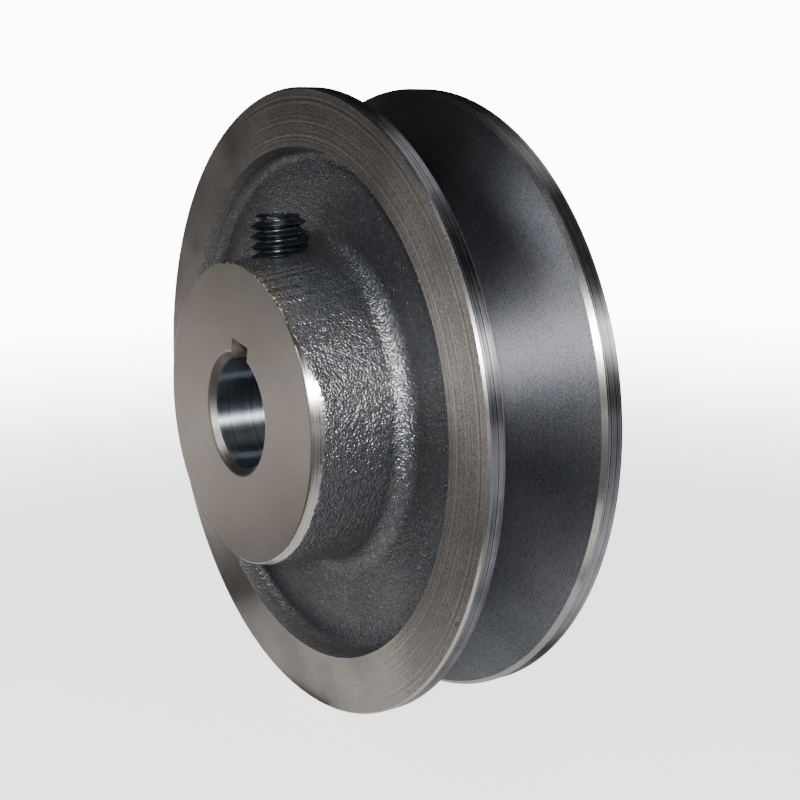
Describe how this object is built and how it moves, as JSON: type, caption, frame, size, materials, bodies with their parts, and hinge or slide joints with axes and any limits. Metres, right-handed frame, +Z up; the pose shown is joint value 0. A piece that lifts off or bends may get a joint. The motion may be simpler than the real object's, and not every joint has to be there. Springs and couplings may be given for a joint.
{
  "type": "v belt pulley",
  "caption": "Fixed-bore cast iron V-belt pulley with a belt groove, a projecting hub, a keyed bore and a set screw that turns in the hub.",
  "frame": {"origin": "on the bore's axis, in the middle of the belt groove", "axes": "Y along the bore's axis, with the hub facing -Y; +Z up along the set screw; +X to the right as seen from the hub's end"},
  "size_m": [0.0902, 0.0318, 0.0902],
  "materials": {
    "machined_iron": "turned on its faces, flanges and groove, and as cast on its web and hub",
    "black_steel": "black oxide, satin"
  },
  "bodies": {
    "pulley": {"pulley_body": "machined_iron"},
    "set_screw": {"set_screw": "black_steel"}
  },
  "joints": [
    {"name": "set_screw_travel", "type": "slide", "parent": "pulley", "child": "set_screw", "axis": [0, 0, 1], "range_m": [-0.00706, 0.00706]}
  ]
}
